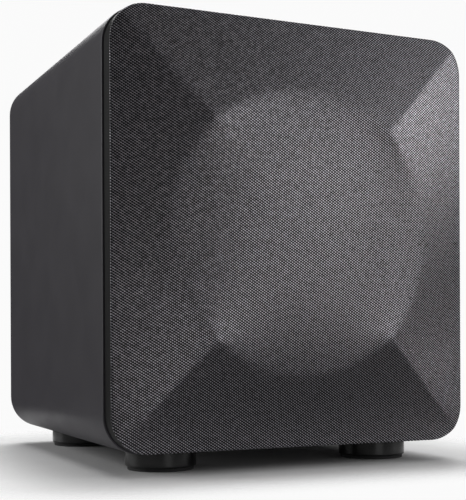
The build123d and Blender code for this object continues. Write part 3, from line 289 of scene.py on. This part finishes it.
FINISHES = {
    # Vinyl wrap laid on board: satin charcoal with a hint of violet, and a faint tooth that softens reflections.
    "painted_board": grained(
        "satin_vinyl_wrap", "#2d2a31", "#333037", 0.5, 0.012, (0.40, 0.50), wander=60.0, IOR=VARNISH
    ),
    # Bare medium-density fibreboard: pale brown, dry, with a felted fibre.
    "raw_board": grained("bare_fibreboard", "#8a6c49", "#a5865e", 0.8, 0.05, (0.78, 0.92), IOR=1.45),
    # Polyester wadding: off-white bonded fibres with loose tufts.
    "wadding": grained("polyester_wadding", "#b9b8b3", "#e8e7e2", 1.6, 0.6, (0.85, 0.97), IOR=1.45, Sheen_Weight=0.5),
    # Polished ABS feet: near black, glossy enough to hold a soft upright highlight.
    "foot_plastic": grained("polished_abs", "#020203", "#050506", 1.5, 0.001, (0.20, 0.25), IOR=PLASTIC),
    # Cellular rubber pads: dark grey and dry.
    "foot_pad": grained("cellular_rubber", "#1b1b1c", "#282829", 0.4, 0.05, (0.75, 0.9), IOR=RUBBER),
    # Black oxide screws: dark oiled steel.
    "black_steel": grained("black_oxide_steel", "#26272a", "#3a3b3f", 0.6, 0.004, (0.32, 0.46), Metallic=1.0),
    # Epoxy powder coat on the pressed basket: black with a fine peel.
    "basket_paint": grained("epoxy_powder_coat", "#131314", "#1c1c1e", 0.7, 0.02, (0.38, 0.5), IOR=VARNISH),
    # Closed-cell foam: flat black with open pores.
    "seal_foam": grained("closed_cell_foam", "#111112", "#1f1f20", 0.5, 0.08, (0.82, 0.95), IOR=1.45),
    # Butyl rubber roll: soft black sheen with mould bloom.
    "surround_rubber": grained("butyl_rubber", "#101011", "#1a1a1c", 1.2, 0.01, (0.42, 0.58), IOR=RUBBER),
    # Coated paper cone: matt black with pressed pulp fibres.
    "cone_paper": grained("coated_pulp", "#121213", "#212123", 0.9, 0.05, (0.6, 0.78), IOR=VARNISH),
    # Aluminium former: bright rolled foil.
    "former_metal": grained(
        "rolled_aluminium", "#b4b6ba", "#cfd1d4", 0.3, 0.004, (0.22, 0.34), (1, 0.08, 1), Metallic=1.0
    ),
    # Enamelled copper wire of 0.5 mm: red-gold turns laid side by side, painted dark in the grooves between turns as
    # shade and pale on their crowns as highlights.
    "copper": waved(
        "enamelled_copper",
        [(0.5, (0, 1, 0), 1.0)],
        [(0.0, "#3a1507"), (0.45, "#a2532c"), (1.0, "#d98a5a")],
        0.12,
        (0.34, 0.2),
        Metallic=1.0,
    ),
    # Resin-dipped cotton: dry ochre cloth in an open weave of 0.9 mm, coarser than real so that it shows.
    "spider_cloth": waved(
        "dipped_cotton",
        [(0.9, (1, 0, 0), 1.0), (0.9, (0, 0, 1), 1.0)],
        [(0.0, "#5d4316"), (0.5, "#b08a3f"), (1.0, "#d3b068")],
        0.12,
        (0.7, 0.85),
        wobble=0.1,
        IOR=1.5,
    ),
    # Zinc-plated steel: cool grey with a faint yellow cast.
    "plated_steel": grained("zinc_plated_steel", "#9a9b98", "#b9bab4", 0.5, 0.006, (0.26, 0.4), Metallic=1.0),
    # Sintered ferrite: dark grey ceramic, ground flat.
    "ferrite": grained("sintered_ferrite", "#2b2b2d", "#3b3b3e", 0.6, 0.02, (0.5, 0.66), IOR=2.0),
    # Paper phenolic board: brown laminate.
    "tag_board": grained("paper_phenolic", "#5a3216", "#73451f", 0.6, 0.02, (0.45, 0.6), (1, 1, 0.3), IOR=1.6),
    # Tinned copper braid: silver plait, with its gaps painted dark as shade between the strands and its crowns painted
    # pale as highlights.
    "braid": waved(
        "tinned_copper_braid",
        [(0.8, (1, 1, 1), 1.0), (0.8, (-1, 1, 1), 1.0)],
        [(0.0, "#4c4a48"), (0.5, "#a5a29d"), (1.0, "#d9d6d0")],
        0.08,
        (0.45, 0.25),
        Metallic=1.0,
    ),
    # Moulded ABS grille frame with a fine spark-eroded texture: black that hardly mirrors the room.
    "grille_plastic": grained(
        "textured_abs", "#020203", "#040405", 0.8, 0.01, (0.46, 0.56), IOR=1.46, Specular_IOR_Level=0.2
    ),
    # Woven polyester speaker cloth, black yarn all over: slanting rows of crowns over an almost black ground, with the
    # crowns painted grey to near white as glints of light. The waves are the cloth's repeats of 1.40, 1.38 and 1.20
    # mm. The painted crowns are also partly metallic, so that they glint more, and the ground has less gloss than the
    # IOR gives.
    "grille_cloth": waved(
        "woven_polyester",
        [
            (1.40, slanting(58), 1.0),
            (1.38, slanting(129), 0.55),
            (1.20, slanting(3), 0.4),
        ],
        # Stops from the dark ground to the crowns: the pale crown shades are painted glints.
        [(0.0, "#020203"), (0.48, "#050506"), (0.66, "#605f65"), (0.86, "#d2d0d8")],
        0.04,
        (0.62, 0.27),
        wobble=0.12,
        glint=0.85,
        IOR=1.55,
        Specular_IOR_Level=0.2,
    ),
    # Textured powder coat on the amplifier plate: charcoal black with a fine crinkle.
    "plate_paint": grained("crinkle_powder_coat", "#151517", "#222225", 0.45, 0.05, (0.5, 0.66), IOR=VARNISH),
    # Glass-filled nylon cases: matt black.
    "control_case": grained("filled_nylon", "#17181a", "#242529", 0.5, 0.02, (0.5, 0.64), IOR=PLASTIC),
    # Soft-touch knobs: even black with a rubbed sheen.
    "knob_plastic": grained("soft_touch_abs", "#141415", "#1f1f21", 0.5, 0.008, (0.44, 0.56), IOR=1.5),
    # Nickel plate: warm bright metal.
    "nickel": grained("bright_nickel", "#b9b3a6", "#d2ccbe", 0.5, 0.003, (0.14, 0.24), Metallic=1.0),
    # Gold flash on the jacks' barrels: pale yellow metal.
    "jack_plate": grained("gold_flashed_brass", "#b98f3e", "#dcb765", 0.5, 0.003, (0.16, 0.28), Metallic=1.0),
    # Moulded nylon insulators of the jacks: pale cream with a soft gloss.
    "jack_core": grained("nylon_insulator", "#c9c7c0", "#dedcd5", 0.8, 0.004, (0.3, 0.42), IOR=PLASTIC),
    # Moulded acrylic lens: clear, polished, with a cool tint.
    "lens": grained(
        "tinted_acrylic", "#9fb8d8", "#c2d6ee", 0.8, 0.001, (0.05, 0.12), IOR=1.49, Transmission_Weight=0.6
    ),
    # Black anodised extrusion: fine drawn lines up the fins.
    "sink_metal": grained(
        "black_anodised_aluminium", "#1d1e21", "#303136", 0.25, 0.01, (0.36, 0.5), (1, 1, 0.04), Metallic=0.85
    ),
    # Phenolic and nylon mouldings of the mains inlet and switch: plain black, slightly glossy.
    "inlet_plastic": grained("glossy_nylon", "#101011", "#19191a", 0.8, 0.006, (0.28, 0.4), IOR=PLASTIC),
    # Drawn glass tube of the fuse: clear, with a faint green cast.
    "fuse_glass": grained(
        "soda_glass", "#dfe6e4", "#f2f6f5", 1.0, 0.001, (0.03, 0.08), IOR=1.52, Transmission_Weight=0.8
    ),
    # Solder-masked circuit board: green lacquer over a ghost of copper tracks.
    "board": waved(
        "green_solder_mask",
        [(2.5, (1, 0, 0), 1.0), (5.0, (0, 0, 1), 1.0), (3.6, (1, 0, 1), 0.5)],
        [(0.0, "#0b3a21"), (0.55, "#0f4a2a"), (0.6, "#1c6a3c"), (1.0, "#22764a")],
        0.03,
        (0.36, 0.26),
        IOR=1.56,
    ),
    # Silicon steel laminations of 0.5 mm: stacked dark edges.
    "core_steel": waved(
        "silicon_steel_stack",
        [(0.5, (0, 1, 0), 1.0)],
        [(0.0, "#37393d"), (0.5, "#6c6f74"), (1.0, "#8c8f94")],
        0.05,
        (0.5, 0.36),
        Metallic=1.0,
    ),
    # Polyester winding tape: glossy yellow, in overlapping turns 6 mm apart.
    "winding_tape": waved(
        "polyester_tape",
        [(6.0, (0, 0, 1), 1.0)],
        [(0.0, "#b98d16"), (0.5, "#dcb32f"), (1.0, "#efca55")],
        0.05,
        (0.3, 0.22),
        IOR=1.6,
    ),
    # Sleeved aluminium cans: dark blue shrink film.
    "can": grained("shrink_sleeve", "#14213f", "#1e2f56", 1.2, 0.01, (0.22, 0.34), IOR=1.54),
    # Epoxy chip packages: flat black.
    "chip": grained("moulded_epoxy", "#1a1a1b", "#272729", 0.3, 0.02, (0.6, 0.75), IOR=1.55),
    # Moulded nylon wire sockets: warm white.
    "socket": grained("white_nylon", "#d8d4c6", "#ece8db", 0.8, 0.006, (0.38, 0.5), IOR=PLASTIC),
    # PVC lead sleeve: soft black.
    "lead_sleeve": grained("pvc_sleeve", "#141416", "#202022", 0.8, 0.01, (0.42, 0.55), IOR=PLASTIC),
    # Background paper: white and matt, with a barely seen tooth.
    "paper": grained("background_paper", "#e6e6e6", "#eeeeee", 3.0, 0.02, (0.6, 0.75), IOR=1.45),
    # Screen-printed ink: slightly broken off-white.
    "print": grained("screen_print", "#b4b4b2", "#d6d6d3", 0.2, 0.004, (0.55, 0.7), IOR=1.5),
}

for row in frame["record"]["subparts"]:
    NODES[row["node"]].data.materials[0] = FINISHES[row["material_slot"]]


# ---------------------------------------------------------------- mesh helpers
SAME_POINT = 0.001 * MM


def piece(name, grids, finish, around=(True, True), facing=None):
    """One mesh of quads over grids of points. around says which way each grid closes on itself; points that meet at a
    pole are merged, and faces point outwards, or along facing on an open sheet."""
    points, quads, used = [], [], 0
    for grid in grids:
        rows, columns = grid.shape[:2]
        index = np.arange(rows * columns).reshape(rows, columns) + used
        if around[0]:
            index = np.concatenate([index, index[:1]])
        if around[1]:
            index = np.concatenate([index, index[:, :1]], axis=1)
        corners = [index[:-1, :-1], index[1:, :-1], index[1:, 1:], index[:-1, 1:]]
        quads.append(np.stack(corners, axis=-1).reshape(-1, 4))
        points.append(grid.reshape(-1, 3))
        used += rows * columns
    mesh = bpy.data.meshes.new(name)
    mesh.from_pydata(np.concatenate(points).tolist(), [], np.concatenate(quads).tolist())
    work = bmesh.new()
    work.from_mesh(mesh)
    bmesh.ops.remove_doubles(work, verts=work.verts, dist=SAME_POINT)
    bmesh.ops.recalc_face_normals(work, faces=work.faces)
    if facing is not None:
        lean = sum((face.normal * face.calc_area() for face in work.faces), Vector())
        if lean.dot(Vector(facing)) < 0:
            bmesh.ops.reverse_faces(work, faces=work.faces)
    work.to_mesh(mesh)
    work.free()
    mesh.shade_smooth()
    mesh.materials.append(FINISHES[finish])
    made = bpy.data.objects.new(name, mesh)
    bpy.context.scene.collection.objects.link(made)
    return made


def turned(radius, depth, around=144):
    """The grid of a loop of (radius, depth behind the cabinet's front) turned about the woofer's axis."""
    angle = np.arange(around) / around * TURN
    x = radius[:, None] * np.cos(angle)
    z = CENTRE_Z + radius[:, None] * np.sin(angle)
    y = np.broadcast_to(FRONT_Y + depth[:, None], x.shape)
    return np.stack([x, y, z], axis=-1)


# ---------------------------------------------------------------- grille cloth
# The frame under the cloth: its round opening, the height that its four facets would meet at, and its corners.
OPENING_RADIUS = 89.5 * MM
CROWN_RISE = 24.27 * MM
CORNER_RADIUS = 22.8 * MM
# The CAD cloth is drawn thicker than this one, whose face meets the CAD cloth's at the rim. The edge is rolled and
# hemmed round the frame, a hair proud of its sides.
CAD_THICKNESS = 0.8 * MM
RIM_Y = CLOTH_HIGH.y - CAD_THICKNESS
CLOTH_THICKNESS = 0.5 * MM
EDGE_ROLL = 0.7 * MM
EDGE_PROUD = 0.12 * MM
HEM = 0.4 * MM
# Creases are averaged over a ring of this radius, at this many places.
CREASE_REACH = 1.3 * MM
CREASE_PLACES = 8
# The opening's rim is sampled at RIM_SAMPLES points and rebuilt from its first waves.
RIM_SAMPLES = 512
HARMONICS = np.arange(33)
# Rows of the grid: across the opening, crowded towards its rim, then up the facets and round the edge.
OPENING_ROWS = 34
OPENING_CROWDING = 0.85
FACET_ROWS = 40
EDGE_ROWS = 5


def facet_rise(x, z):
    """Height of the four-sided pyramid above the grille's rim: it falls from the middle to each straight side."""
    return CROWN_RISE * (1 - np.maximum(np.abs(x) / HALF_WIDTH, np.abs(z) / HALF_HEIGHT))


def stretched_rise(x, z):
    """Height of cloth stretched over the round opening: each wave of the rim's height dies away towards the middle
    as (radius / opening radius) to the power of its number."""
    rim = np.arange(RIM_SAMPLES) / RIM_SAMPLES * TURN
    rim_rise = facet_rise(OPENING_RADIUS * np.cos(rim), OPENING_RADIUS * np.sin(rim))
    waves = np.fft.rfft(rim_rise)[: len(HARMONICS)] / RIM_SAMPLES
    waves[1:] *= 2
    share = np.minimum(np.hypot(x, z) / OPENING_RADIUS, 1)[..., None] ** HARMONICS
    turn = np.exp(1j * np.arctan2(z, x)[..., None] * HARMONICS)
    return (waves * share * turn).real.sum(axis=-1)


def cloth_rise(x, z):
    """The facets outside the opening and the stretched disc inside it, with each crease eased by averaging over a
    small ring of neighbours."""
    total = 0
    for turn in np.arange(CREASE_PLACES) / CREASE_PLACES * TURN:
        near_x = x + CREASE_REACH * math.cos(turn)
        near_z = z + CREASE_REACH * math.sin(turn)
        inside = np.hypot(near_x, near_z) < OPENING_RADIUS
        total = total + np.where(inside, stretched_rise(near_x, near_z), facet_rise(near_x, near_z))
    return total / CREASE_PLACES


def rounded_outline(inset, corner_steps=26, side_steps=56):
    """Points round a rectangle with round corners, inset from the grille's edge: four arcs joined by straight runs."""
    corner = CORNER_RADIUS - inset
    turn = np.arange(corner_steps + 1) / corner_steps * TURN / 4
    arc = np.stack([np.cos(turn), np.sin(turn)], axis=-1) * corner
    mid = np.array([HALF_WIDTH - CORNER_RADIUS, HALF_HEIGHT - CORNER_RADIUS])
    step = np.arange(1, side_steps) / side_steps
    points = []
    for quarter, sign in enumerate([(1, 1), (-1, 1), (-1, -1), (1, -1)]):
        flip = arc if quarter % 2 == 0 else arc[::-1]
        points.append((flip + mid) * sign)
    following = points[1:] + points[:1]
    runs = [here[-1] + (there[0] - here[-1]) * step[:, None] for here, there in zip(points, following)]
    return np.concatenate([part for pair in zip(points, runs) for part in pair])


def grille_cloth_grid():
    """Rays from the middle to the rounded outline: across the opening, up the facets, round the edge and down a short
    hem; every point is raised by cloth_rise and lowered by the edge's quarter circle."""
    rim = rounded_outline(EDGE_ROLL)
    ray = rim / np.linalg.norm(rim, axis=1, keepdims=True)
    inner = (np.linspace(0, 1, OPENING_ROWS) ** OPENING_CROWDING)[:, None, None] * OPENING_RADIUS * ray
    climb = np.linspace(0, 1, FACET_ROWS)[1:, None, None]
    outer = OPENING_RADIUS * ray * (1 - climb) + rim * climb
    bend = np.arange(1, EDGE_ROWS + 1) / EDGE_ROWS * TURN / 4
    edge = np.stack([rounded_outline((EDGE_ROLL + EDGE_PROUD) * (1 - math.sin(b)) - EDGE_PROUD) for b in bend])
    hem = edge[-1:]
    flat = np.concatenate([inner, outer, edge, hem])
    drop = np.zeros(len(flat))
    drop[-1 - EDGE_ROWS : -1] = EDGE_ROLL * (1 - np.cos(bend))
    drop[-1] = EDGE_ROLL + HEM
    y = RIM_Y - cloth_rise(flat[..., 0], flat[..., 1]) + drop[:, None]
    return np.stack([flat[..., 0], y, CENTRE_Z + flat[..., 1]], axis=-1)


cloth = piece("grille_cloth", [grille_cloth_grid()], "grille_cloth", (False, True), (0, -1, 0))
wall = cloth.modifiers.new("thickness", "SOLIDIFY")
wall.thickness = CLOTH_THICKNESS
wall.offset = -1.0
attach(cloth, "grille")
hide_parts("grille_fabric")

# ---------------------------------------------------------------- woofer's moving suspension
# Sections in millimetres: radii from the woofer's axis, and depths behind the cabinet's front edge.
# Surround: its lips' inner and outer rims and their thickness, and the roll's middle and its two radii.
LIP_INNER, LIP_OUTER, LIP = 55.0, 79.0, 1.2
ROLL_CENTRE, ROLL_OUTER, ROLL_INNER = 66.0, 7.6, 6.4
ROLL_STEPS = 28
# Spider: its rims, the span of its ridges, their pitch and half height, and the flat lands' depth and thickness.
SPIDER_INNER, SPIDER_OUTER = 20.1, 54.0
INNER_LAND, OUTER_LAND = 21.5, 49
RIDGES_FROM, RIDGES_TO = 23, 47
RIDGE_PITCH, RIDGE_SWING = 6, 1.3
LAND_DEPTH, SPIDER_THICKNESS = 31.2, 0.8
RIDGE_POINTS = 65


def roll_loop():
    """The surround's section: a half circle of rubber between two flat lips, out over its face and back behind it."""
    lean = math.asin(LIP / ROLL_OUTER)
    over = np.linspace(math.pi - lean, lean, ROLL_STEPS)
    under = np.linspace(0, math.pi, ROLL_STEPS)
    face = ROLL_CENTRE + ROLL_OUTER * np.cos(over)
    back = ROLL_CENTRE + ROLL_INNER * np.cos(under)
    radius = np.concatenate([[LIP_INNER, LIP_INNER], face, [LIP_OUTER, LIP_OUTER], back])
    depth = np.concatenate([[0, -LIP], -ROLL_OUTER * np.sin(over), [-LIP, 0], -ROLL_INNER * np.sin(under)])
    return radius * MM, depth * MM


def spider_loop():
    """The spider's section: concentric waves whose height is a raised cosine, with flat lands at both rims."""
    ridges = np.linspace(RIDGES_FROM, RIDGES_TO, RIDGE_POINTS)
    radius = np.concatenate([[SPIDER_INNER, INNER_LAND], ridges, [OUTER_LAND, SPIDER_OUTER]])
    ridged = (radius >= RIDGES_FROM) & (radius <= RIDGES_TO)
    swing = 1 - np.cos((radius - RIDGES_FROM) / RIDGE_PITCH * TURN)
    face = LAND_DEPTH - np.where(ridged, swing, 0) * RIDGE_SWING
    back = (face + SPIDER_THICKNESS)[::-1]
    return np.concatenate([radius, radius[::-1]]) * MM, np.concatenate([face, back]) * MM


def stretched_between(made):
    """Bakes the piece's transform into its mesh and reads out its points."""
    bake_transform(made)
    points = np.zeros(len(made.data.vertices) * 3)
    made.data.vertices.foreach_get("co", points)
    points = points.reshape(-1, 3)


# The lips are glued to the cone on the inside and to the basket on the outside.
surround = piece("rubber_surround", [turned(*roll_loop())], "surround_rubber")
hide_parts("surround")
stretched_between(surround)

# The spider is glued to the former at its inner rim, and to the basket from its outer land on.
spider = piece("corrugated_spider", [turned(*spider_loop())], "spider_cloth")
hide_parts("spider")
stretched_between(spider)

# Tinsel leads: from the terminal board's tags, which stay, to the cone, which moves.
tinsel_mesh = NODES["tinsel_leads"].data.copy()
joined = bmesh.new()
joined.from_mesh(tinsel_mesh)
bmesh.ops.remove_doubles(joined, verts=joined.verts, dist=SAME_POINT)
joined.to_mesh(tinsel_mesh)
joined.free()
tinsel = bpy.data.objects.new("tinsel_pair", tinsel_mesh)
bpy.context.scene.collection.objects.link(tinsel)
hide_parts("tinsel_leads")
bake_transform(tinsel)


# ---------------------------------------------------------------- wadding
PAD_ACROSS, PAD_TALL = 96, 64
# How square the block is, its usual thickness and its tufts' swell as shares of the room, and its other sides' share.
PAD_SQUARENESS = 6.0
PAD_THICKNESS = 0.93
TUFT_SWELL = 0.05
PAD_REACH = 0.985
# Tufts along the pad's depth and height, in half waves from its middle to its side.
TUFTS_DEEP, TUFTS_HIGH = 3, 6


def wadding_grid(low, high):
    """A soft block: a sphere's directions pushed out to where |x|^p + |y|^p + |z|^p is 1, with a grid of cosine tufts
    on its broad sides that die away at its ends."""
    turn = np.arange(PAD_ACROSS) / PAD_ACROSS * TURN
    lift = np.linspace(-math.pi / 2, math.pi / 2, PAD_TALL)[:, None]
    middle, half = (np.array(low) + np.array(high)) / 2, (np.array(high) - np.array(low)) / 2
    way = np.stack(
        [np.cos(lift) * np.cos(turn), np.cos(lift) * np.sin(turn), np.sin(lift) * np.ones_like(turn)], axis=-1
    )
    reach = (np.abs(way) ** PAD_SQUARENESS).sum(axis=-1, keepdims=True) ** (-1 / PAD_SQUARENESS)
    shape = way * reach
    tuft = np.cos(shape[..., 1] * TUFTS_DEEP * math.pi) * np.cos(shape[..., 2] * TUFTS_HIGH * math.pi)
    shape[..., 0] *= PAD_THICKNESS + TUFT_SWELL * tuft * (1 - shape[..., 2] ** PAD_SQUARENESS)
    shape[..., 1:] *= PAD_REACH
    return middle + shape * half


for side in ("left", "right"):
    low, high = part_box(f"wadding_{side}")
    pad = piece(f"wadding_pad_{side}", [wadding_grid(low, high)], "wadding", (False, True))
    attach(pad, "cabinet")
    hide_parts(f"wadding_{side}")


# ---------------------------------------------------------------- printed marks on the amplifier plate
MARK_WIDTH = 0.5 * MM
INK_RISE = 0.04 * MM
# A knob's dial: its inner radius, its bars over 300 degrees, and every fifth of them longer.
DIAL_RADIUS = 10.2 * MM
DIAL_SWEEP = 150
DIAL_MARKS = 11
LONG_EVERY = 5
LONG_MARK, SHORT_MARK = 2.6 * MM, 1.6 * MM
# A lever's two bars: their places beside and above it, and their length.
LEVER_MARK_SIDE, LEVER_MARK_UP = 5.0 * MM, 8.0 * MM
LEVER_MARK = 1.8 * MM


def mark(centre, along, length):
    """A flat printed bar on the plate: a closed slab with its long side along a direction in the plate's plane."""
    along = np.array(along)
    across = np.array([-along[2], 0, along[0]])
    corner = np.array([(-1, -1), (1, -1), (1, 1), (-1, 1)]) / 2
    ring = corner[:, :1] * length * along + corner[:, 1:] * MARK_WIDTH * across
    up = np.array([0, INK_RISE, 0])
    return np.stack([ring * 0, ring, ring + up, ring * 0 + up]) + centre


def on_plate(node):
    """The middle of a knob or lever, brought down to the plate's face."""
    low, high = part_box(node)
    return np.array([(low.x + high.x) / 2, PLATE_FACE, (low.z + high.z) / 2])


PLATE_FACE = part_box("amp_plate")[1].y
marks = []
for knob in ("volume_knob", "crossover_knob"):
    for step, turn in enumerate(np.radians(np.linspace(-DIAL_SWEEP, DIAL_SWEEP, DIAL_MARKS))):
        out = np.array([-math.sin(turn), 0, math.cos(turn)])
        length = SHORT_MARK if step % LONG_EVERY else LONG_MARK
        marks.append(mark(on_plate(knob) + out * (DIAL_RADIUS + length / 2), out, length))
for lever in ("phase_lever", "mode_lever"):
    for shift in (-LEVER_MARK_SIDE, LEVER_MARK_SIDE):
        marks.append(mark(on_plate(lever) + np.array([shift, 0, LEVER_MARK_UP]), (0, 0, 1), LEVER_MARK))
print_marks = piece("printed_marks", marks, "print", (False, True))
print_marks.data.shade_flat()
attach(print_marks, "cabinet")


# ---------------------------------------------------------------- stage
MIDDLE = (0.0, -0.12, 0.15)
FRONT_FOOT = (-0.078, -0.087, 0.006)
# Softboxes: name, place, what each faces, width, height and watts. Those in front stand where one of the grille's
# facets or a foot mirrors them to the front left, and the last three light the top, the left side and the back.
SOFTBOXES = [
    ("key", (0.60, -0.81, 0.44), MIDDLE, 0.42, 0.42, 0.9),
    ("edge_strip", (0.76, -0.56, 0.50), MIDDLE, 0.26, 0.34, 0.9),
    ("side_strip", (0.77, -0.67, 0.36), MIDDLE, 0.20, 0.14, 0.40),
    ("front_strip", (0.51, -1.10, 0.30), MIDDLE, 0.24, 0.44, 0.7),
    ("low_fill", (0.00, -1.10, 0.04), MIDDLE, 0.40, 0.08, 0.5),
    ("high_strip", (0.50, -0.70, 0.80), MIDDLE, 0.50, 0.16, 0.2),
    ("foot_strip", (0.68, -0.48, 0.035), FRONT_FOOT, 0.03, 0.06, 0.10),
    ("overhead", (0.00, 0.15, 1.50), MIDDLE, 1.30, 1.30, 12.0),
    ("side_fill", (-1.10, 0.50, 0.45), MIDDLE, 0.60, 0.90, 6.4),
    ("rear_box", (0.45, 1.00, 1.25), MIDDLE, 1.30, 1.00, 16.0),
]

for name, place, target, width, height, watts in SOFTBOXES:
    lamp = bpy.data.lights.new(name, "AREA")
    lamp.shape = "RECTANGLE"
    lamp.size = width
    lamp.size_y = height
    lamp.energy = watts
    softbox = bpy.data.objects.new(name, lamp)
    bpy.context.scene.collection.objects.link(softbox)
    softbox.matrix_world = look_from(Vector(place), Vector(target) - Vector(place))
    softbox.visible_camera = False

# Soft white room. As a light it is dim enough to leave the cloth dark; looked at straight on, it is a white backdrop.
ROOM_LIGHT = 0.09
BACKDROP = 0.96
world = bpy.data.worlds.new("studio")
bpy.context.scene.world = world
world.use_nodes = True
world.node_tree.nodes.clear()
ray = add(world.node_tree, "ShaderNodeLightPath")
strength = add(
    world.node_tree,
    "ShaderNodeMapRange",
    {"To Min": ROOM_LIGHT, "To Max": BACKDROP},
    {"Value": ray.outputs["Is Camera Ray"]},
)
room = add(
    world.node_tree,
    "ShaderNodeBackground",
    {"Color": linear("#ffffff")},
    {"Strength": strength.outputs["Result"]},
)
add(world.node_tree, "ShaderNodeOutputWorld", links={"Surface": room.outputs["Background"]})
bpy.context.scene.view_settings.view_transform = "Standard"

# Floor: white, matt background paper that holds the shadow under the cabinet and fades into the white room, over a
# distance of FADE_REACH from the rectangle that the cabinet covers.
FLOOR_RADIUS = 0.7
FLOOR_SIDES = 96
FADE_REACH = 0.11
floor_turn = np.arange(FLOOR_SIDES) / FLOOR_SIDES * TURN
floor_ring = np.stack([np.cos(floor_turn), np.sin(floor_turn), 0 * floor_turn], axis=-1)
floor = piece("floor", [np.stack([floor_ring * 0, floor_ring * FLOOR_RADIUS])], "paper", (False, True), (0, 0, 1))
paper = FINISHES["paper"].node_tree
ground = add(paper, "ShaderNodeTexCoord")
footprint = (CABINET_HIGH.x, CABINET_HIGH.y, 1.0)
apart = add(paper, "ShaderNodeVectorMath", {"operation": "ABSOLUTE"}, {0: ground.outputs["Object"]})
beyond = add(paper, "ShaderNodeVectorMath", {"operation": "SUBTRACT", 1: footprint}, {0: apart.outputs[0]})
outside = add(paper, "ShaderNodeVectorMath", {"operation": "MAXIMUM", 1: (0, 0, 0)}, {0: beyond.outputs[0]})
distance = add(paper, "ShaderNodeVectorMath", {"operation": "LENGTH"}, {0: outside.outputs[0]})
fade = add(
    paper,
    "ShaderNodeMapRange",
    {"interpolation_type": "SMOOTHERSTEP", "From Max": FADE_REACH, "To Min": 1.0, "To Max": 0.0},
    {"Value": distance.outputs["Value"]},
)
paper_shader = next(node for node in paper.nodes if node.bl_idname == "ShaderNodeBsdfPrincipled")
paper.links.new(fade.outputs["Result"], paper_shader.inputs["Alpha"])
